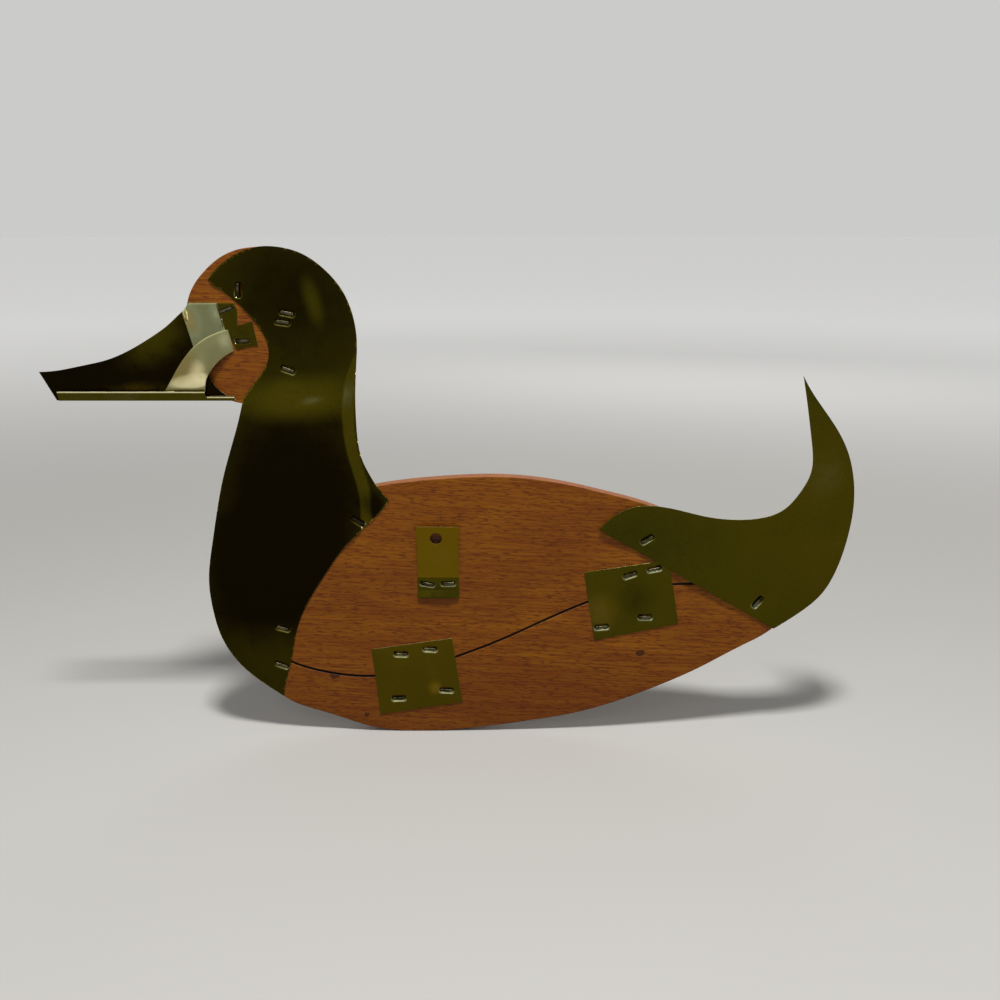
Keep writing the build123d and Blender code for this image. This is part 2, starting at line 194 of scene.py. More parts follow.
class Recipe(Nodes):
    """Node tree of one material, with its principled shader."""

    def __init__(self, name: str) -> None:
        """Start a material of this name."""
        self.material = bpy.data.materials.new(name)
        self.material.use_nodes = True
        super().__init__(self.material.node_tree)
        self.shader = self.tree.nodes["Principled BSDF"]
        self.coordinates = self.tree.nodes.new("ShaderNodeTexCoord").outputs["Object"]

    def mix(self, factor: Any, first: Any, second: Any) -> Value:
        """Colour between two colours, by the share of the second."""
        settings = {"data_type": "RGBA", "clamp_factor": True}
        return self.node("ShaderNodeMix", settings, {0: factor, 6: first, 7: second}, 2)

    def stretched(self, stretch: Triple, turn: float = 0.0) -> Value:
        """Object coordinates, turned about Y by degrees and then multiplied along each axis."""
        inputs = {"Vector": self.coordinates, "Angle": math.radians(turn)}
        turned = self.node("ShaderNodeVectorRotate", {"rotation_type": "Y_AXIS"}, inputs)
        return self.node("ShaderNodeVectorMath", {"operation": "MULTIPLY"}, {0: turned, 1: stretch})

    def noise(self, scale: float, detail: float = 2.0, vector: Any = None, **extra: Any) -> Value:
        """Noise between 0 and 1.

        Args:
            scale: Number of features in a metre of the coordinates.
            detail: Number of finer layers.
            vector: The coordinates, or None for the object's own.
            extra: Further inputs of the noise node, by name with capital letters.

        Returns:
            The noise.
        """
        inputs = {"Vector": vector or self.coordinates, "Scale": scale, "Detail": detail}
        inputs.update({key.replace("_", " "): value for key, value in extra.items()})
        return self.node("ShaderNodeTexNoise", {}, inputs)

    def axis(self, name: str) -> Value:
        """One of the object coordinates, named X, Y or Z."""
        return self.node("ShaderNodeSeparateXYZ", {}, {0: self.coordinates}, name)

    def attribute(self, name: str) -> Value:
        """Number stored on the piece's vertices under a name."""
        return self.node("ShaderNodeAttribute", {"attribute_name": name}, {}, "Fac")

    def facing_back(self) -> Value:
        """How squarely the surface faces along Y, from 0 on a cut edge to 1 on a flat face."""
        normal = self.tree.nodes.new("ShaderNodeNewGeometry").outputs["True Normal"]
        return abs(self.node("ShaderNodeSeparateXYZ", {}, {0: normal}, "Y"))

    def bump(self, height: Value, depth: float, strength: float = 1.0) -> Value:
        """Normal of a surface whose relief goes from 0 to 1 over a depth in metres."""
        inputs = {"Height": height, "Distance": depth, "Strength": strength}
        return self.node("ShaderNodeBump", {}, inputs)

    def finish(self, **inputs: Any) -> Material:
        """Set the shader's inputs.

        Args:
            inputs: Values by socket name, with _ for a space.

        Returns:
            The finished material.
        """
        for key, value in inputs.items():
            self.connect(self.shader.inputs[key.replace("_", " ")], value)
        return self.material


def srgb(*levels: float) -> tuple[float, ...]:
    """Linear opaque colour for a shader, from screen levels of 0 to 255."""
    shares = (level / 255 for level in levels)
    return *(x / 12.92 if x <= 0.04045 else ((x + 0.055) / 1.055) ** 2.4 for x in shares), 1.0


# Finishes


@dataclass(frozen=True)
class SheetBrass:
    """Tarnished satin sheet brass with smudges and bright cut edges, whose tone also carries painted
    highlights, reflections and shade.
    """

    name: str
    # Tone below 0 goes towards soot, which also stands for painted shade; tone above 0 goes towards pale and
    # bright, which also stand for painted highlights and reflections
    olive: Triple = (70, 63, 10)
    soot_and_shade: Triple = (20, 15, 3)
    pale: Triple = (136, 140, 104)
    bright: Triple = (236, 226, 178)
    green: Triple = (62, 72, 20)
    brown: Triple = (124, 96, 8)
    edge: Triple = (220, 206, 150)
    roughness: float = 0.26
    mottle: float = 0.07
    bared: float = 0.5
    uneven: float = 0.02 * MM

    def build(self) -> Material:
        """Make the material."""
        recipe = Recipe(self.name)
        clouds = recipe.noise(30.0, 3.0, Distortion=0.5) - 0.5
        smudges = recipe.noise(150.0, 5.0, Roughness=0.6).ramp(0.45, 0.72)
        specks = recipe.noise(1600.0, 2.0).ramp(0.6, 0.78)
        tint = recipe.attribute(WARMTH) + clouds * 0.6
        # The tone carries tarnish and also painted highlights, reflections and shade
        level = recipe.attribute(TONE) + (clouds * 3 - smudges - specks) * self.mottle
        colour = recipe.mix(level.ramp(0.0, 1.0), srgb(*self.olive), srgb(*self.pale))
        colour = recipe.mix(level.ramp(1.0, 2.0), colour, srgb(*self.bright))
        colour = recipe.mix(tint.ramp(0.0, 1.0) * 0.6, colour, srgb(*self.brown))
        colour = recipe.mix(tint.ramp(0.0, -1.0) * 0.6, colour, srgb(*self.green))
        colour = recipe.mix(level.ramp(0.0, -1.0), colour, srgb(*self.soot_and_shade))
        cut = recipe.facing_back().ramp(0.7, 0.4)
        colour = recipe.mix(cut * self.bared, colour, srgb(*self.edge))
        rolled = recipe.noise(900.0, 2.0, recipe.stretched((0.12, 1.0, 1.0), 8.0))
        marks = smudges * 0.12 + rolled * 0.04 + specks * 0.1 + cut * 0.2
        relief = rolled * 0.2 + recipe.noise(260.0, 3.0) * 0.8
        return recipe.finish(
            Base_Color=colour,
            Metallic=1.0,
            Roughness=marks + (self.roughness - 0.04),
            Normal=recipe.bump(relief, self.uneven, 0.5),
        )


@dataclass(frozen=True)
class StainedWood:
    """Open-pored board with a brown stain, paler on its cut edges, with painted shade on the walls of its
    joint, and with dark marks on its back, one of which is a painted shadow behind the hanger tab.

    Each mark is its place along X, its height and its radius, in millimetres.
    """

    name: str
    dark: Triple = (72, 30, 4)
    middle: Triple = (112, 61, 4)
    pale: Triple = (127, 75, 5)
    red: Triple = (92, 40, 4)
    edge: Triple = (146, 94, 62)
    # Colour of the real dark marks, and of the painted shadow behind the hanger tab
    spot: Triple = (46, 22, 6)
    # Colour of the walls of the joint between the boards: painted shade in the gap
    joint: Triple = (34, 16, 4)
    marks: tuple[Triple, ...] = ()
    oval: float = 1.3
    tilt: float = -3.0

    def build(self) -> Material:
        """Make the material."""
        recipe = Recipe(self.name)
        bands = recipe.noise(1.0, 4.0, recipe.stretched((14.0, 60.0, 130.0), self.tilt), Distortion=0.5)
        fibres = recipe.noise(1.0, 3.0, recipe.stretched((60.0, 300.0, 1500.0), self.tilt))
        flecks = recipe.noise(1.0, 2.0, recipe.stretched((240.0, 600.0, 1500.0), self.tilt))
        pores = flecks.ramp(0.5, 0.68)
        clouds = recipe.noise(26.0, 2.0).ramp(0.35, 0.7)
        colour = recipe.mix(bands.ramp(0.3, 0.7), srgb(*self.middle), srgb(*self.pale))
        colour = recipe.mix(fibres.ramp(0.42, 0.66) * 0.7, colour, srgb(*self.red))
        colour = recipe.mix(clouds * 0.25, colour, srgb(*self.red))
        colour = recipe.mix(pores * 0.68, colour, srgb(*self.dark))
        lower = recipe.axis("Z").ramp(-50 * MM, -95 * MM)
        colour = recipe.mix(lower * 0.32, colour, srgb(*self.dark))
        back = recipe.axis("Y").ramp(5 * MM, 3 * MM)
        ragged = (recipe.noise(700.0, 2.0) - 0.5) * 1.4
        # Dark marks on the back: the last one in the table is a painted shadow behind the hanger tab
        for x, z, radius in self.marks:
            dx, dz = (recipe.axis("X") - x * MM) / self.oval, recipe.axis("Z") - z * MM
            mark = ((dx * dx + dz * dz) ** 0.5).ramp(radius * MM, 0.0) + ragged
            colour = recipe.mix(mark.ramp(0.25, 0.6) * back * 0.85, colour, srgb(*self.spot))
        cut = recipe.facing_back().ramp(0.8, 0.4)
        saw = recipe.noise(700.0, 3.0, recipe.stretched((1.0, 0.2, 1.0)))
        colour = recipe.mix(cut * (saw * 0.5 + 0.4), colour, srgb(*self.edge))
        # The walls of the joint between the boards are made near black: painted shade
        colour = recipe.mix(recipe.attribute(JOINT) * cut, colour, srgb(*self.joint))
        height = fibres * 0.4 - pores * 0.6 + saw * cut * 0.5
        roughness = 0.5 + pores * 0.2 + cut * 0.2 - bands * 0.08
        return recipe.finish(
            Base_Color=colour,
            Specular_IOR_Level=0.14,
            Roughness=roughness,
            Normal=recipe.bump(height, 0.12 * MM, 0.5),
        )


@dataclass(frozen=True)
class StapleWire:
    """Zinc-coated flat wire, worn on its crown."""

    name: str
    bright: Triple = (88, 84, 62)
    dull: Triple = (38, 33, 18)
    roughness: float = 0.24

    def build(self) -> Material:
        """Make the material."""
        recipe = Recipe(self.name)
        spots = recipe.noise(240.0, 2.0).ramp(0.35, 0.65)
        colour = recipe.mix(spots, srgb(*self.bright), srgb(*self.dull))
        scratches = recipe.noise(2600.0, 2.0, recipe.stretched((0.2, 1.0, 1.0)))
        return recipe.finish(
            Base_Color=colour,
            Metallic=1.0,
            Roughness=spots * 0.2 + scratches * 0.1 + self.roughness,
            Normal=recipe.bump(scratches, 0.01 * MM, 0.4),
        )


@dataclass(frozen=True)
class PaleFloor:
    """Plain pale floor that passes into the sky far off, where the lamps don't reach."""

    name: str
    near: Triple = (181, 179, 174)
    far: Triple = (252, 251, 248)
    haze: Triple = (0.335, 0.335, 0.33)

    def build(self) -> Material:
        """Make the material."""
        recipe = Recipe(self.name)
        x, y = recipe.axis("X"), recipe.axis("Y")
        distance = (x * x + y * y) ** 0.5
        tone = recipe.mix(distance.ramp(0.3, 1.6), srgb(*self.near), srgb(*self.far))
        glow = recipe.mix(distance.ramp(0.5, 2.3), (0, 0, 0, 1), (*self.haze, 1))
        return recipe.finish(
            Base_Color=tone,
            Roughness=0.9,
            Specular_IOR_Level=0.1,
            Emission_Color=glow,
            Emission_Strength=1.0,
        )


# Hand tools


def choose(*pieces: Piece) -> None:
    """Select these pieces alone and make the first of them active."""
    bpy.ops.object.select_all(action="DESELECT")
    for piece in pieces:
        piece.select_set(True)
    bpy.context.view_layer.objects.active = pieces[0]


class Edit:
    """Edit mode on one piece, with selections made in code and shapes made by operators."""

    def __init__(self, piece: Piece) -> None:
        """Choose the piece, a mesh object."""
        self.piece = piece

    def __enter__(self) -> "Edit":
        """Select the piece alone and enter edit mode."""
        choose(self.piece)
        bpy.ops.object.mode_set(mode="EDIT")
        bpy.ops.mesh.select_mode(type="FACE")
        return self

    def __exit__(self, *details: Any) -> None:
        """Go back to object mode."""
        bpy.ops.object.mode_set(mode="OBJECT")

    def everything(self) -> None:
        """Select all."""
        bpy.ops.mesh.select_all(action="SELECT")

    def clean(self) -> None:
        """Turn all faces outward and join those that lie in one plane."""
        self.everything()
        bpy.ops.mesh.normals_make_consistent(inside=False)
        bpy.ops.mesh.dissolve_limited(angle_limit=FLAT_ANGLE)

    def select(self, kind: str, rule: Callable[[Any], bool]) -> int:
        """Select faces or edges by a rule.

        Args:
            kind: FACE or EDGE.
            rule: Whether a face or an edge is selected.

        Returns:
            The number selected.
        """
        bpy.ops.mesh.select_mode(type=kind)
        bpy.ops.mesh.select_all(action="DESELECT")
        shape = bmesh.from_edit_mesh(self.piece.data)
        chosen = [one for one in (shape.faces if kind == "FACE" else shape.edges) if rule(one)]
        for one in chosen:
            one.select_set(True)
        bmesh.update_edit_mesh(self.piece.data)
        return len(chosen)

    def grid(self, pitch: float) -> None:
        """Cut the whole piece by planes across X and across Z.

        Args:
            pitch: Distance between the planes, in metres.
        """
        low, high = extent(self.piece)
        for axis in (0, 2):
            normal = Vector((0, 0, 0))
            normal[axis] = 1
            count = math.ceil((high[axis] - low[axis]) / pitch)
            step = (high[axis] - low[axis]) / count
            for index in range(1, count):
                self.everything()
                place = normal * (low[axis] + step * index)
                bpy.ops.mesh.bisect(plane_co=place, plane_no=normal)


def extent(piece: Piece) -> list[Vector]:
    """Lowest and highest corner of a piece's own mesh."""
    axes = list(zip(*piece.bound_box))
    return [Vector([pick(places) for places in axes]) for pick in (min, max)]


def copy_of(node: str, name: str) -> Piece:
    """Piece that starts as a merged copy of a CAD node.

    Args:
        node: Name of the node.
        name: Name of the new piece.

    Returns:
        The piece, with flat faces that aren't cut into triangles.
    """
    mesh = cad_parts[node].data.copy()
    mesh.materials.clear()
    piece = bpy.data.objects.new(name, mesh)
    bpy.context.scene.collection.objects.link(piece)
    with Edit(piece) as edit:
        edit.everything()
        bpy.ops.mesh.remove_doubles(threshold=MERGE_REACH)
        edit.clean()
    return piece


@contextmanager
def reworked(piece: Piece) -> Iterator[bmesh.types.BMesh]:
    """Mesh of a piece to work on, which goes back into the piece at the end."""
    shape = bmesh.new()
    shape.from_mesh(piece.data)
    yield shape
    shape.to_mesh(piece.data)
    shape.free()


def modify(piece: Piece, kind: str, **settings: Any) -> None:
    """Add a modifier to a piece and apply it.

    Args:
        piece: The piece.
        kind: Type of the modifier.
        settings: Properties of the modifier.
    """
    choose(piece)
    modifier = piece.modifiers.new(kind.lower(), kind)
    for key, value in settings.items():
        setattr(modifier, key, value)
    bpy.ops.object.modifier_apply(modifier=modifier.name)


def round_edges(piece: Piece, width: float, degrees: float) -> None:
    """Round a piece's edges where its faces meet at more than an angle in degrees."""
    angle = math.radians(degrees)
    modify(piece, "BEVEL", width=width, segments=2, limit_method="ANGLE", angle_limit=angle)


def face_out(piece: Piece) -> None:
    """Turn a single skin so that it faces out of the back."""
    if sum(polygon.normal.y for polygon in piece.data.polygons) > 0:
        piece.data.flip_normals()


def smooth(piece: Piece) -> None:
    """Shade a piece smooth, apart from its large flat faces and its sharp edges."""
    choose(piece)
    bpy.ops.object.shade_smooth_by_angle(angle=SMOOTH_ANGLE)
    for polygon in piece.data.polygons:
        if polygon.area > FLAT_AREA:
            polygon.use_smooth = False


def dress(piece: Piece, material: Material, slot: Slot, *nodes: str) -> None:
    """Give a piece its finish and tie it to the frame.

    Args:
        piece: The piece.
        material: Its material.
        slot: Not used.
        nodes: The CAD nodes that the piece stands for.
    """
    piece.data.materials.clear()
    piece.data.materials.append(material)
    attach(piece, BODY)
    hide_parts(*nodes)
    log.info("%s: %d faces", piece.name, len(piece.data.polygons))


# Staples


@dataclass(frozen=True)
class Spot:
    """Where a staple's crown lies: its centre, its direction and half its length."""

    x: float
    z: float
    along: tuple[float, float]
    reach: float
    # Ring round the crown: rubbed bright, with a painted highlight that grows towards its lower side
    ring_gap: float = 0.75 * MM
    ring_width: float = 0.6 * MM
    ring_fade: float = 1.6 * MM
    ring_level: float = 0.35

    def distance(self, place: Vector) -> float:
        """Distance of a point from the crown's rectangle, seen along Y.

        Args:
            place: The point.

        Returns:
            The distance, 0 inside the rectangle.
        """
        dx, dz = place.x - self.x, place.z - self.z
        across = abs(dx * self.along[1] - dz * self.along[0])
        lengthwise = abs(dx * self.along[0] + dz * self.along[1])
        return math.hypot(max(across - CROWN_HALF_WIDTH, 0.0), max(lengthwise - self.reach, 0.0))

    def rubbed_and_highlit(self, place: Vector) -> float:
        """How bright a ring round the crown is at a point: real rubbing, with a painted highlight that is
        strongest on the ring's lower side.
        """
        ring = max(0.0, 1 - abs(self.distance(place) - self.ring_gap) / self.ring_width)
        return ring * min(1.0, max(0.0, self.ring_level + (self.z - place.z) / self.ring_fade))


def long_axis(points: list[Vector], centre: Vector) -> tuple[tuple[float, float], float]:
    """Long direction of a flat set of points, seen along Y.

    Args:
        points: The points.
        centre: Their middle.

    Returns:
        The direction in X and Z, and half the length of the set along it.
    """
    offsets = [(point.x - centre.x, point.z - centre.z) for point in points]
    xx = sum(x * x for x, z in offsets)
    zz = sum(z * z for x, z in offsets)
    xz = sum(x * z for x, z in offsets)
    angle = 0.5 * math.atan2(2 * xz, xx - zz)
    along = (math.cos(angle), math.sin(angle))
    return along, max(abs(x * along[0] + z * along[1]) for x, z in offsets)


def islands(shape: bmesh.types.BMesh) -> list[list[bmesh.types.BMVert]]:
    """Vertices of each connected part of a mesh, in the mesh's order, so that their sums don't vary."""
    found = []
    left = set(shape.verts)
    while left:
        island, queue = set(), [left.pop()]
        while queue:
            vertex = queue.pop()
            island.add(vertex)
            near = {edge.other_vert(vertex) for edge in vertex.link_edges} & left
            left -= near
            queue.extend(near)
        found.append(sorted(island, key=lambda vertex: vertex.index))
    return found


def spots_of(node: str) -> list[Spot]:
    """Places of the staples in a CAD node.

    Args:
        node: Name of the node.

    Returns:
        One spot for each staple.
    """
    piece = copy_of(node, "measured")
    spots = []
    with reworked(piece) as shape:
        for island in islands(shape):
            front = min(vertex.co.y for vertex in island)
            crown = [vertex.co.copy() for vertex in island if vertex.co.y < front + CROWN_LEVEL]
            centre = sum(crown, Vector()) / len(crown)
            spots.append(Spot(centre.x, centre.z, *long_axis(crown, centre)))
    bpy.data.objects.remove(piece)
    return spots


@dataclass
class Staples:
    """All the wire staples, one piece for each sheet that they hold."""

    places: tuple[str, ...] = ("head", "breast", "bill", "front_plate", "rear_plate", "hanger", "tail")
    finish: StapleWire = StapleWire("staple_wire")
    edge_rounding: float = 0.14 * MM
    edge_angle: float = 50.0

    def build(self) -> None:
        """Make and dress the staples."""
        material = self.finish.build()
        for place in self.places:
            node = place + "_staples"
            piece = copy_of(node, node + "_wire")
            round_edges(piece, self.edge_rounding, self.edge_angle)
            smooth(piece)
            dress(piece, material, Slot.WIRE, node)


# Sheets


def eased(share: float) -> float:
    """Smooth step of a share, which is kept between 0 and 1."""
    share = min(1.0, max(0.0, share))
    return share * share * (3 - 2 * share)


def cubic(first: Any, second: Any, slope: Any, last_slope: Any, share: float) -> Any:
    """Point of a smooth curve between two points or numbers.

    Args:
        first: Where the share is 0.
        second: Where the share is 1.
        slope: Slope at the first.
        last_slope: Slope at the second.
        share: How far along the curve the point is.

    Returns:
        The point or the number.
    """
    square, cube = share * share, share**3
    start = (2 * cube - 3 * square + 1) * first + (cube - 2 * square + share) * slope
    return start + (3 * square - 2 * cube) * second + (cube - square) * last_slope


def curve(points: Line, share: float) -> Vector:
    """Point of a smooth curve through points.

    Args:
        points: The points.
        share: From 0 at the first point to 1 at the last.

    Returns:
        The point at that share.
    """
    last = len(points) - 1
    index = min(int(share * last), last - 1)
    first, second = Vector(points[index]), Vector(points[index + 1])
    before, after = Vector(points[max(index - 1, 0)]), Vector(points[min(index + 2, last)])
    return cubic(first, second, (second - before) / 2, (after - first) / 2, share * last - index)


@dataclass(frozen=True)
class Patch:
    """Soft oval patch of a sheet, seen along Y, with sizes in millimetres."""

    x: float
    z: float
    radius: float
    stretch: float = 1.0
    turn: float = 0.0

    def at(self, place: Vector) -> float:
        """Strength of the patch at a point.

        Args:
            place: The point, in metres.

        Returns:
            The strength, 1 in the middle and 0 from the patch's edge on.
        """
        angle = math.radians(self.turn)
        dx, dz = place.x / MM - self.x, place.z / MM - self.z
        along = (dx * math.cos(angle) + dz * math.sin(angle)) / self.stretch
        across = dz * math.cos(angle) - dx * math.sin(angle)
        share = min(1.0, math.hypot(along, across) / self.radius)
        return (1 - share * share) ** 2


@dataclass(frozen=True)
class Swell(Patch):
    """Bulge of a sheet, or a dent where its height is negative."""

    height: float = 0.3


@dataclass(frozen=True)
class Shade(Patch):
    """Part of a sheet where the tarnish is lighter or darker, or warmer or greener, or where a painted
    highlight, reflection or shade lies.
    """

    tone: float = 0.0
    warmth: float = 0.0


def tarnish_and_painted_light(shades: Iterable[Shade], place: Vector) -> tuple[float, float]:
    """Tone and warmth that shades have together at a point, as tarnish and as painted light.

    Args:
        shades: The shades.
        place: The point.

    Returns:
        The tone and the warmth.
    """
    tone = warmth = 0.0
    for shade in shades:
        strength = shade.at(place)
        tone += strength * shade.tone
        warmth += strength * shade.warmth
    return tone, warmth


def tone_layers(mesh: bpy.types.Mesh, domain: str) -> list[Any]:
    """New layers of a mesh for the tone and the warmth of its points or corners."""
    for name in (TONE, WARMTH):
        mesh.attributes.new(name, "FLOAT", domain)
    return [mesh.attributes[name].data for name in (TONE, WARMTH)]


@dataclass(frozen=True)
class Crease:
    """Ridge of a sheet along a line, from which the sheet falls away towards +X, in millimetres.

    The line's points are pairs of a height and the place along X, from the top down.
    """

    line: Line = ()
    rise: float = 1.0
    lead: float = 13.0
    width: float = 5.0
    soft: float = 1.0
    fine_edge: float = 1.2
    fade: float = 16.0
    # Lightening of the band that falls away from the crease: a painted reflection
    tone: float = 0.35

    def place(self, z: float) -> float:
        """Place of the line along X at a height, by a smooth curve through its points."""
        points = self.line
        last = len(points) - 1
        index = next((i for i in range(1, last) if z > points[i][0]), last)
        (z0, x0), (z1, x1) = points[index - 1], points[index]
        share = (z - z0) / (z1 - z0)
        if not 0 <= share <= 1:
            return x0 if share < 0 else x1
        before, after = points[max(index - 2, 0)], points[min(index + 1, last)]
        slope = (x1 - before[1]) / (z1 - before[0]) * (z1 - z0)
        last_slope = (after[1] - x0) / (after[0] - z0) * (z1 - z0)
        return cubic(x0, x1, slope, last_slope, share)

    def at(self, place: Vector) -> tuple[float, float]:
        """Height of the ridge at a point, and how far the point belongs to the falling band.

        Args:
            place: The point, in metres.

        Returns:
            The height in millimetres, and a share that is 1 in the band and 0 beside it.
        """
        if not self.line:
            return 0.0, 0.0
        z = place.z / MM
        gap = place.x / MM - self.place(z)
        strength = min(1.0, max(0.0, (self.line[0][0] - z) / self.fade))
        edges = min(1.0, max(0.0, 1 + gap / self.soft), max(0.0, self.width - gap))
        band = edges * min(1.0, strength * 3)
        if gap < 0:
            return strength * self.rise * eased(1 + gap / self.lead), band
        return strength * self.rise * (1 - min(1.0, gap / self.width)), band

    def draw_near(self, piece: Piece, reach: float) -> None:
        """Move the inner vertices near the line onto it, or onto a line beside it, and run edges there.

        Args:
            piece: The sheet, still a single skin.
            reach: How far a vertex may move, in metres.
        """
        if not self.line:
            return
        with reworked(piece) as shape:
            # The finer cuts round the staples keep their places beside the crease
            fine = {edge for edge in shape.edges if edge.calc_length() < self.fine_edge * reach}
            coarse = {vertex for vertex in shape.verts if not fine.intersection(vertex.link_edges)}
            for offset in (-2 * reach, 0.0, 2 * reach):
                drawn = []
                for vertex in shape.verts:
                    place = self.place(vertex.co.z / MM) * MM + offset
                    free = vertex in coarse if offset else not vertex.is_boundary
                    if free and abs(vertex.co.x - place) < reach:
                        vertex.co.x = place
                        drawn.append(vertex)
                bmesh.ops.connect_verts(shape, verts=drawn)


@dataclass
class FlatSheet:
    """Sheet brass that lies on the boards, pressed in under its staples and slightly wavy."""

    node: str
    name: str
    finish: SheetBrass
    staple_nodes: tuple[str, ...]
    swells: tuple[Swell, ...] = ()
    shades: tuple[Shade, ...] = ()
    crease: Crease = Crease()
    ground: tuple[float, float] = (0.0, 0.0)
    wave: float = 0.16 * MM
    wave_pitch: float = 24 * MM
    thickness: float = 0.4 * MM
    pitch: float = 2.0 * MM
    fine_cuts: int = 4
    fine_reach: float = 3.4 * MM
    seat_depth: float = 0.6 * MM
    seat_flat: float = 0.12 * MM
    seat_slope: float = 1.0 * MM
    dish_depth: float = 0.12 * MM
    dish_reach: float = 3.2 * MM
    held_reach: float = 9 * MM
    merge_reach: float = 0.12 * MM
    edge_rounding: float = 0.07 * MM
    edge_angle: float = 60.0
    rubbing_and_highlight: float = 1.5

    def height(self, place: Vector, spots: Iterable[Spot]) -> float:
        """How far the sheet stands out from its flat place.

        Args:
            place: A point of the sheet.
            spots: Its staples.

        Returns:
            The height, negative in a seat.
        """
        nearest = min(spot.distance(place) for spot in spots)
        held = eased(nearest / self.held_reach)
        spread = Vector((place.x, 0.0, place.z)) / self.wave_pitch
        wave = (noise.noise(spread) + 0.5 * noise.noise(spread * 2.3) + 0.7) * self.wave
        swell = sum(one.at(place) * one.height for one in self.swells) * MM
        slope = eased((nearest - self.seat_flat) / self.seat_slope)
        seat = self.seat_depth * (1 - slope)
        dish = self.dish_depth * max(0.0, 1 - nearest / self.dish_reach) ** 2
        ridge = self.crease.at(place)[0] * MM
        return max(0.0, wave * held) + (swell + ridge) * held - seat - dish * (slope > 0)

    def build(self) -> None:
        """Make and dress the sheet."""
        spots = [spot for node in self.staple_nodes for spot in spots_of(node)]
        piece = copy_of(self.node, self.name)
        outer = self.outer_level(piece)

        def is_beneath(face: bmesh.types.BMFace) -> bool:
            """Whether a face isn't part of the sheet's outer skin."""
            level = abs(face.calc_center_median().y - outer) < SAME_LEVEL
            return not (face.normal.y < OUTWARD and level)

        def is_by_staple(face: bmesh.types.BMFace) -> bool:
            """Whether a face lies so close to a staple that it needs finer cuts."""
            middle = face.calc_center_median()
            return min(spot.distance(middle) for spot in spots) < self.fine_reach

        with Edit(piece) as edit:
            edit.select("FACE", is_beneath)
            bpy.ops.mesh.delete(type="FACE")
            edit.everything()
            bpy.ops.mesh.fill_holes(sides=10)
            edit.clean()
            edit.grid(self.pitch)
            edit.everything()
            bpy.ops.mesh.remove_doubles(threshold=self.merge_reach)
            edit.select("FACE", is_by_staple)
            bpy.ops.mesh.subdivide(number_cuts=self.fine_cuts)
        face_out(piece)
        self.crease.draw_near(piece, self.pitch / 2)
        self.mark(piece, spots)
        for vertex in piece.data.vertices:
            vertex.co.y -= self.height(vertex.co, spots)
        modify(piece, "SOLIDIFY", thickness=self.thickness, offset=-1.0)
        round_edges(piece, self.edge_rounding, self.edge_angle)
        smooth(piece)
        dress(piece, self.finish.build(), Slot.BRASS, self.node)

    def outer_level(self, piece: Piece) -> float:
        """Place along Y of the sheet's outer face: the largest flat face that looks out of the back."""
        outward = [polygon for polygon in piece.data.polygons if polygon.normal.y < OUTWARD]
        return max(outward, key=lambda polygon: polygon.area).center.y

    def mark(self, piece: Piece, spots: Iterable[Spot]) -> None:
        """Store on each vertex how light and how warm the tarnish is there, with its painted reflections,
        highlights and shade.

        Args:
            piece: The sheet.
            spots: Staples of the sheet, round which it is rubbed bright and given a painted highlight.
        """
        tones, warmths = tone_layers(piece.data, "POINT")
        for index, vertex in enumerate(piece.data.vertices):
            place = vertex.co
            tone, warmth = tarnish_and_painted_light(self.shades, place)
            # Painted reflection on the band that falls away from the crease
            tone += self.crease.at(place)[1] * self.crease.tone
            # Rubbed ring round each staple, with a painted highlight on its lower side
            tone += max(spot.rubbed_and_highlit(place) for spot in spots) * self.rubbing_and_highlight
            tones[index].value = self.ground[0] + tone
            warmths[index].value = self.ground[1] + warmth


@dataclass(frozen=True)
class Region:
    """Part of a folded sheet with its own tarnish or painted light, told by where a face lies and how it
    faces.
    """

    rule: Callable[[Vector, Vector], bool]
    tone: float = 0.0
    warmth: float = 0.0
    shades: tuple[Shade, ...] = ()


@dataclass
class BentSheet:
    """Sheet brass with folds: the bill or the hanger tab."""

    node: str
    name: str
    finish: SheetBrass
    regions: tuple[Region, ...]
    swells: tuple[Swell, ...] = ()
    staple_nodes: tuple[str, ...] = ()
    pitch: float = 1.25 * MM
    rubbing_and_highlight: float = 1.5
    edge_rounding: float = 0.06 * MM
    edge_angle: float = 55.0

    def build(self) -> None:
        """Make and dress the sheet."""
        piece = copy_of(self.node, self.name)
        self.prepare(piece)
        with Edit(piece) as edit:
            edit.grid(self.pitch)
        for vertex in piece.data.vertices:
            vertex.co.y -= sum(swell.at(vertex.co) * swell.height for swell in self.swells) * MM
        round_edges(piece, self.edge_rounding, self.edge_angle)
        self.mark(piece, self.regions)
        self.complete(piece)
        smooth(piece)
        dress(piece, self.finish.build(), Slot.BRASS, self.node)

    def prepare(self, piece: Piece) -> None:
        """Change the copy of the CAD node before it is cut by a grid."""

    def complete(self, piece: Piece) -> None:
        """Add further parts to the marked piece."""

    def mark(self, piece: Piece, regions: Iterable[Region]) -> None:
        """Store the tarnish and the painted light of each region, sharply divided where one region meets the
        next.

        Args:
            piece: The sheet.
            regions: The regions, of which the first that fits a face is used.
        """
        spots = [spot for node in self.staple_nodes for spot in spots_of(node)]
        mesh = piece.data
        tones, warmths = tone_layers(mesh, "CORNER")
        for polygon in mesh.polygons:
            region = next(one for one in regions if one.rule(polygon.center, polygon.normal))
            for corner in polygon.loop_indices:
                place = mesh.vertices[mesh.loops[corner].vertex_index].co
                tone, warmth = tarnish_and_painted_light(region.shades, place)
                # Rubbed ring round each staple, with a painted highlight on its lower side
                rubbed_and_highlit = max((spot.rubbed_and_highlit(place) for spot in spots), default=0.0)
                tones[corner].value = region.tone + tone + rubbed_and_highlit * self.rubbing_and_highlight
                warmths[corner].value = region.warmth + warmth


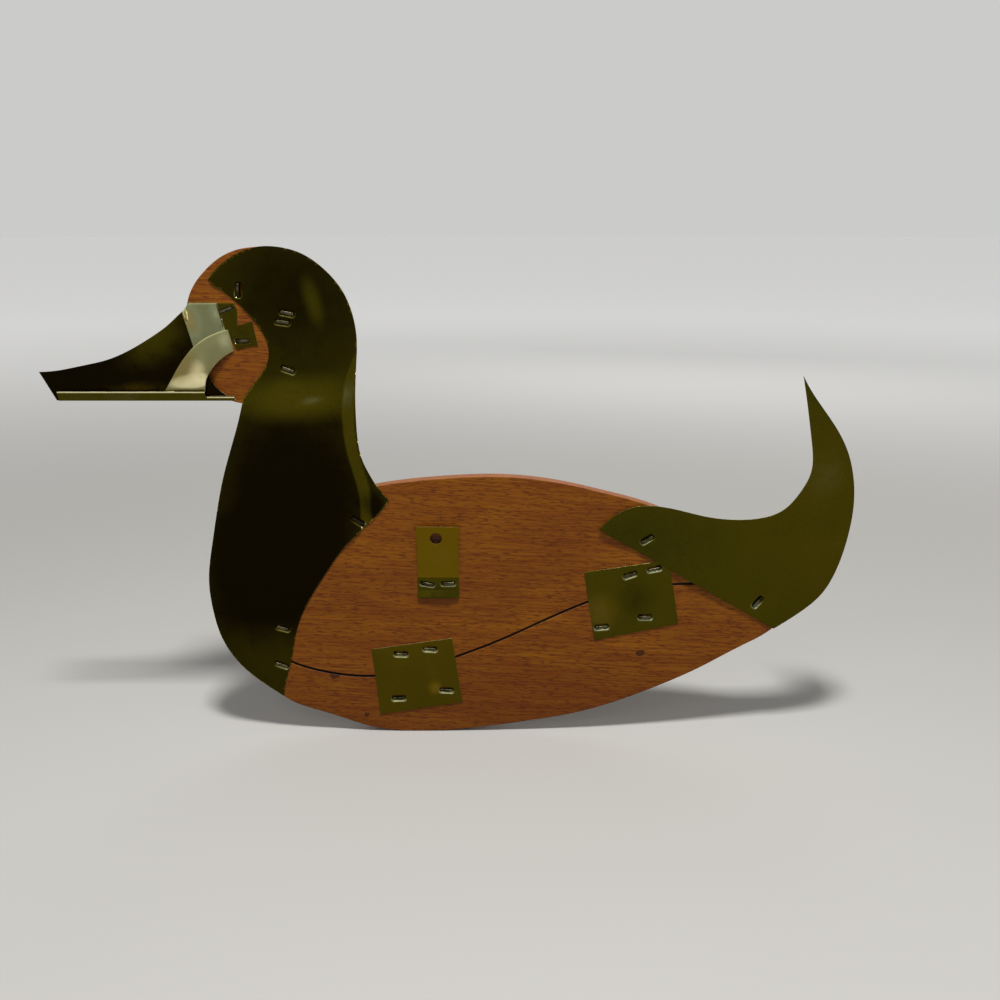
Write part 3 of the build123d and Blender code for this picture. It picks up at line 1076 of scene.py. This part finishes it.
@dataclass(frozen=True)
class Strap:
    """Bowed band that rises from the bill's lip and comes back to the head, in millimetres.

    The points of its two edges are places along X and heights, from the lip on.
    """

    upper: Line
    lower: Line
    region: Region
    foot: float = -3.2
    end: float = 1.68
    bow: float = 0.85
    camber: float = 0.18
    fullness: float = 0.7
    cuts: tuple[int, int] = (40, 14)
    thickness: float = 0.4 * MM

    def place(self, along: float, across: float) -> Vector:
        """Point of the band's outer skin, in metres.

        Args:
            along: From 0 at the lip to 1 at the head.
            across: From 0 at the upper edge to 1 at the lower edge.

        Returns:
            The point.
        """
        upper, lower = curve(self.upper, along), curve(self.lower, along)
        flat = upper.lerp(lower, across)
        arch = math.sin(math.pi * min(1.0, along)) ** self.fullness
        bow = (self.bow + self.camber * math.sin(math.pi * across)) * arch
        return Vector((flat.x, self.foot + (self.end - self.foot) * along - bow, flat.y)) * MM

    def build(self) -> Piece:
        """Make the band."""
        bpy.ops.mesh.primitive_grid_add(x_subdivisions=self.cuts[0], y_subdivisions=self.cuts[1], size=1.0)
        piece = bpy.context.object
        for vertex in piece.data.vertices:
            vertex.co = self.place(vertex.co.x + 0.5, vertex.co.y + 0.5)
        face_out(piece)
        modify(piece, "SOLIDIFY", thickness=self.thickness, offset=-1.0)
        return piece


@dataclass
class Bill(BentSheet):
    """The bill, whose straight-ruled CAD strap is replaced by a bowed one.

    The CAD strap lies left of its end and between its heights, all in millimetres.
    """

    strap_end: float = -84.3
    strap_heights: tuple[float, float] = (LIP_TOP, 93.0)
    strap_facing: float = 0.85
    strap_lean: float = 0.05
    rim_facing: float = 0.6
    rim_gap: float = 0.1
    strap: Strap = field(kw_only=True)

    def prepare(self, piece: Piece) -> None:
        """Take off the CAD node's strap and close the holes that it leaves.

        Args:
            piece: The copy of the CAD node.
        """
        foot, top = self.strap_heights

        def in_band(face: bmesh.types.BMFace) -> bool:
            """Whether a face belongs to the inner or the outer skin of the strap."""
            normal, place = face.normal, face.calc_center_median() / MM
            facing = abs(normal.y) > self.strap_facing
            leaning = abs(normal.z) > self.strap_lean and normal.y * normal.z < 0
            return facing and leaning and place.x < self.strap_end and foot < place.z < top

        def on_rim(face: bmesh.types.BMFace) -> bool:
            """Whether a face is the cut edge between the strap's two skins."""
            around = (other for edge in face.edges for other in edge.link_faces)
            high = face.calc_center_median().z > (foot + self.rim_gap) * MM
            return abs(face.normal.y) < self.rim_facing and high and any(in_band(other) for other in around)

        with Edit(piece) as edit:
            count = edit.select("FACE", lambda face: in_band(face) or on_rim(face))
            bpy.ops.mesh.delete(type="FACE")
        with reworked(piece) as shape:
            parts = sorted(islands(shape), key=len)
            bmesh.ops.delete(shape, geom=[vertex for part in parts[:-1] for vertex in part])
            rims = [edge for edge in shape.edges if edge.is_boundary]
            filled = bmesh.ops.edgeloop_fill(shape, edges=rims)["faces"]
            bmesh.ops.triangulate(shape, faces=filled)
            unpaired = sum(not edge.is_manifold for edge in shape.edges)
        with Edit(piece) as edit:
            edit.clean()
            for height in LIP_LINES:
                edit.everything()
                bpy.ops.mesh.bisect(plane_co=(0, 0, height * MM), plane_no=(0, 0, 1))
        log.info("bill: %d strap faces off, %d edges without two faces", count, unpaired)

    def complete(self, piece: Piece) -> None:
        """Put the bowed strap on.

        Args:
            piece: The bill without its strap.
        """
        band = self.strap.build()
        round_edges(band, self.edge_rounding, self.edge_angle)
        self.mark(band, (self.strap.region,))
        choose(piece, band)
        bpy.ops.object.join()


# Boards


@dataclass
class Board:
    """Stained board with eased edges.

    The joint side is 1 where the joint with another board is above this one, and -1 where it is below.
    """

    node: str
    name: str
    finish: StainedWood
    easing: float = 0.35 * MM
    edge_angle: float = 60.0
    least_wall: float = 6.2 * MM
    joint_side: float = 0.0
    joint_lean: float = 0.3

    def build(self) -> None:
        """Make and dress the board."""
        piece = copy_of(self.node, self.name)
        low, high = extent(piece)
        faces = (low.y, high.y)

        def on_outline(edge: bmesh.types.BMEdge) -> bool:
            """Whether an edge runs round the board's outline on one of its faces, not round a staple hole."""
            places = [vertex.co.y for vertex in edge.verts]
            flat = any(max(abs(place - face) for place in places) < SAME_LEVEL for face in faces)
            if not flat or len(edge.link_faces) != 2:
                return False
            wall = min(edge.link_faces, key=lambda face: abs(face.normal.y))
            depths = [vertex.co.y for vertex in wall.verts]
            through = max(depths) - min(depths) > self.least_wall
            return edge.calc_face_angle() > math.radians(self.edge_angle) and through

        with Edit(piece) as edit:
            count = edit.select("EDGE", on_outline)
            bpy.ops.mesh.bevel(offset=self.easing, segments=3, affect="EDGES")
        log.info("%s: %d outline edges eased", self.name, count)
        smooth(piece)
        # Faces of the joint's walls, which the material paints dark as shade
        joint = piece.data.attributes.new(JOINT, "FLOAT", "FACE")
        for polygon, mark in zip(piece.data.polygons, joint.data):
            mark.value = float(polygon.normal.z * self.joint_side > self.joint_lean)
        dress(piece, self.finish.build(), Slot.WOOD, self.node)


# Studio


@dataclass(frozen=True)
class Lamp:
    """Soft square lamp, out of the camera's sight, with its power in watts."""

    name: str
    place: Triple
    target: Triple
    size: float
    power: float

    def build(self) -> None:
        """Hang the lamp and point it at its target."""
        bpy.ops.object.light_add(type="AREA", location=self.place)
        lamp = bpy.context.object
        lamp.name = self.name
        lamp.data.size = self.size
        lamp.data.energy = self.power
        aim = Vector(self.target) - Vector(self.place)
        lamp.rotation_euler = aim.to_track_quat("-Z", "Y").to_euler()
        lamp.visible_camera = False


@dataclass
class Studio:
    """Pale floor, soft lamps, even sky light and the camera."""

    floor_level: float
    camera_place: Triple = (0.02873, -0.47704, 0.1412)
    camera_pitch: float = 14.5
    lens: float = 39.96
    sensor: float = 36.0
    floor_size: float = 24.0
    sky: Triple = (0.6, 0.6, 0.59)
    sky_light: float = 0.27
    lamps: tuple[Lamp, ...] = (
        Lamp("front_lamp", (-0.25, -1.2, 0.75), (0, 0, 0), 0.7, 2.6),
        Lamp("top_lamp", (0.05, -0.42, 1.0), (0.03, 0, 0), 0.16, 13.5),
        Lamp("rear_lamp", (0.3, 1.1, 0.6), (0, 0, 0.02), 0.6, 2.0),
    )

    def build(self) -> None:
        """Make the studio."""
        self.build_floor()
        self.build_world()
        for lamp in self.lamps:
            lamp.build()
        self.build_camera()

    def build_floor(self) -> None:
        """Lay the floor at the lowest point of the object."""
        bpy.ops.mesh.primitive_circle_add(
            vertices=96, radius=self.floor_size / 2, fill_type="NGON", location=(0, 0, self.floor_level)
        )
        floor = bpy.context.object
        floor.name = "floor"
        floor.data.materials.append(PaleFloor("pale_floor").build())

    def build_world(self) -> None:
        """Light the room evenly, with a brighter sky where the camera or a reflection sees it."""
        world = bpy.data.worlds.new("studio")
        bpy.context.scene.world = world
        world.use_nodes = True
        nodes = Nodes(world.node_tree)
        light = nodes.tree.nodes["Background"]
        nodes.connect(light.inputs["Color"], (1, 1, 1, 1))
        nodes.connect(light.inputs["Strength"], self.sky_light)
        seen = nodes.node("ShaderNodeBackground", {}, {"Color": (*self.sky, 1), "Strength": 1.0})
        rays = [nodes.node("ShaderNodeLightPath", {}, {}, f"Is {kind} Ray") for kind in ("Camera", "Glossy")]
        either = nodes.node("ShaderNodeMath", {"operation": "MAXIMUM"}, {0: rays[0], 1: rays[1]})
        mixed = nodes.node("ShaderNodeMixShader", {}, {0: either, 1: light.outputs[0], 2: seen})
        nodes.connect(nodes.tree.nodes["World Output"].inputs["Surface"], mixed)

    def build_camera(self) -> None:
        """Place the camera as the photograph has it."""
        bpy.ops.object.camera_add(location=self.camera_place)
        camera = bpy.context.object
        camera.name = "camera"
        camera.rotation_euler = (math.radians(90 - self.camera_pitch), 0.0, 0.0)
        camera.data.lens = self.lens
        camera.data.sensor_width = self.sensor
        bpy.context.scene.camera = camera


# The whole object


def on_lip(place: Vector, normal: Vector) -> bool:
    """Whether a face of the bill belongs to its fold and its lip."""
    return place.z < LIP_TOP * MM and (abs(normal.z) > 0.2 or place.y < LIP_FRONT * MM)


def on_lip_edge(place: Vector, normal: Vector) -> bool:
    """Whether a face belongs to the part of the fold and the lip that gets a painted highlight."""
    left, right = LIP_LINES
    return on_lip(place, normal) and place.z > (right if place.x > LIP_DIVIDE * MM else left) * MM


WOOD = StainedWood(
    "stained_wood",
    # The last mark is a painted shadow behind the hanger tab; the others are real marks of the wood
    marks=((-47.9, -67.0, 2.6), (93.4, -55.6, 2.6), (-33.6, -86.7, 2.0), (0.4, 0.8, 7.0)),
)
BOARDS = (
    Board("wood_head", "wood_head_board", WOOD),
    Board("wood_body_upper", "wood_body_upper_board", WOOD, joint_side=-1.0),
    Board("wood_body_lower", "wood_body_lower_board", WOOD, joint_side=1.0),
)
NECK = FlatSheet(
    "head_neck_sheet",
    "neck_brass",
    SheetBrass("neck_brass", bared=0.2),
    ("head_staples", "breast_staples"),
    swells=(
        Swell(-53, 105, 9, 1.6, -70, height=0.5),
        Swell(-57, 63, 18, 2.4, 0, height=0.7),
        Swell(-88, -50, 20, 1.8, 60, height=0.5),
    ),
    shades=(
        Shade(-66, 12, 52, 1.5, 75, tone=-0.65, warmth=0.3),
        Shade(-78, -24, 44, 1.3, 60, tone=-0.4, warmth=0.2),
        # Painted reflection along the bend below the head, with a painted highlight line on it
        Shade(-60, 63, 14, 2.6, 4, tone=0.75, warmth=0.12),
        Shade(-53, 62, 3, 4, 12, tone=0.3),
        # Painted highlight on the buckle by the head's staples
        Shade(-51, 105, 5.5, 2.6, -75, tone=0.5),
        Shade(-58, 108, 46, tone=-0.3),
        # Painted shade beside the crease band
        Shade(-28, 14, 7, 1.6, -60, tone=-0.5),
        Shade(-80, -50, 20, tone=0.15),
    ),
    crease=Crease(
        line=(
            (84.0, -32.6), (80.2, -34.2), (71.1, -37.6), (62.4, -39.2), (53.1, -39.5), (40.1, -38.2),
            (21.1, -33.5), (9.6, -33.0), (0.0, -32.8),
        ),
        # Painted reflection on the band that falls away from the crease
        tone=0.55,
    ),
    ground=(-0.5, 0.0),
    pitch=1.0 * MM,
    fine_cuts=2,
)
TAIL = FlatSheet(
    "tail_sheet",
    "tail_brass",
    SheetBrass("tail_brass", bared=0.25),
    ("tail_staples",),
    swells=(
        Swell(74, 3, 20, height=1.2),
        Swell(116, -23, 20, 1.8, -33, height=0.9),
        Swell(170, 0, 40, 1.4, 70, height=0.8),
    ),
    shades=(
        Shade(165, 0, 52, 1.2, 60, tone=0.05, warmth=0.1),
        Shade(92, 0, 34, 1.6, -15, tone=-0.25, warmth=-0.4),
        Shade(174, 30, 20, 1.3, 80, tone=0.25, warmth=0.2),
        Shade(164, 66, 24, tone=-0.1, warmth=-0.3),
    ),
    ground=(-0.12, 0.0),
)
FRONT_PLATE = FlatSheet(
    "front_joining_plate",
    "front_plate_brass",
    SheetBrass("front_plate_brass"),
    ("front_plate_staples",),
    swells=(Swell(-1.5, -73, 4.5, height=0.4), Swell(-1.5, -73, 2.8, height=-0.35)),
    shades=(Shade(-1.5, -73, 4.5, tone=0.3, warmth=0.8), Shade(-14, -66, 16, tone=-0.15)),
    ground=(0.0, 0.3),
)
REAR_PLATE = FlatSheet(
    "rear_joining_plate",
    "rear_plate_brass",
    SheetBrass("rear_plate_brass"),
    ("rear_plate_staples",),
    swells=(Swell(86, -32, 16, height=0.5),),
    shades=(Shade(76, -36, 14, tone=0.15, warmth=0.5), Shade(90, -28, 16, tone=-0.4)),
)
HANGER = BentSheet(
    "hanger_tab",
    "hanger_brass",
    SheetBrass("hanger_brass"),
    (
        # The part below the bend is darker, with painted shade on its lifted foot; the tilted part above is
        # warmer, with a lighter middle, as painted reflection
        Region(
            lambda place, normal: place.z < -19 * MM,
            tone=-0.1,
            warmth=-0.1,
            shades=(Shade(0.2, -26, 5, 3, tone=-0.5),),
        ),
        Region(lambda place, normal: True, warmth=1.0, shades=(Shade(1, -9, 10, 1.4, tone=0.12),)),
    ),
    swells=(Swell(0.2, -30, 7, 2.4, height=0.9),),
    staple_nodes=("hanger_staples",),
    pitch=0.6 * MM,
)
BILL = Bill(
    "bill",
    "bill_brass",
    SheetBrass("bill_brass", uneven=0.12 * MM, roughness=0.3, mottle=0.14),
    (
        # Painted highlight along the fold and the top of the lip
        Region(on_lip_edge, tone=1.9),
        Region(on_lip, tone=0.1),
        # The slanted part of the lug is paler by the way it faces: painted reflection
        Region(
            lambda place, normal: abs(normal.x) > 0.07 and place.z > 84 * MM,
            tone=0.7,
            warmth=-0.1,
            shades=(
                Shade(-104, 97, 6, 1.6, -70, tone=0.7, warmth=1),
                Shade(-92.5, 99.5, 3, 2, -70, tone=0.6),
            ),
        ),
        Region(lambda place, normal: place.y > 1.4 * MM, tone=-0.3),
        Region(
            lambda place, normal: True,
            tone=-0.95,
            shades=(
                Shade(-120, 91, 17, 1.5, 35, tone=0.62),
                Shade(-125, 67, 6, 5, tone=0.25, warmth=1),
            ),
        ),
    ),
    strap=Strap(
        upper=(
            (-115.3, 67.1), (-112.2, 72.2), (-109.4, 76.9), (-106.2, 81.4), (-102.5, 85.6),
            (-98.9, 88.5), (-95.5, 90.4), (-91.6, 91.9), (-87.7, 92.8),
        ),
        lower=(
            (-98.1, 66.8), (-97.9, 69.2), (-97.6, 71.3), (-96.8, 73.5), (-95.1, 76.1),
            (-93.2, 78.4), (-91.1, 80.4), (-88.6, 82.2), (-85.8, 83.7),
        ),
        # The strap is pale as painted reflection, with painted highlights near its foot and painted shade in
        # the bend at the foot
        region=Region(
            lambda place, normal: True,
            tone=1.0,
            warmth=0.5,
            shades=(
                Shade(-89.3, 88.4, 6, 1.3, -70, tone=0.4, warmth=-0.2),
                Shade(-97.6, 84.2, 8, tone=-0.2, warmth=-0.1),
                Shade(-108, 77.2, 8, 1.4, 55, tone=0.15, warmth=0.5),
                # Painted highlights: a bright streak and a bright curve near the foot
                Shade(-101.3, 75, 5, 1.8, 75, tone=0.9),
                Shade(-104, 71, 4.2, 3.2, 6, tone=1.8, warmth=-0.2),
                Shade(-99.5, 71.6, 2.4, 1.6, 60, tone=0.6),
                # Painted shade in the bend at the strap's foot
                Shade(-105, 66.2, 2.6, 8, 0, tone=-1.8),
            ),
        ),
    ),
)


def main() -> None:
    """Build every piece in order."""
    logging.basicConfig(level=logging.INFO, format="%(name)s: %(message)s")
    bpy.context.scene.view_settings.view_transform = "Standard"
    Studio(floor_level=cad_low.z).build()
    for board in BOARDS:
        board.build()
    for sheet in (NECK, TAIL, FRONT_PLATE, REAR_PLATE, HANGER, BILL):
        sheet.build()
    Staples().build()


if __name__ == "__main__":
    main()
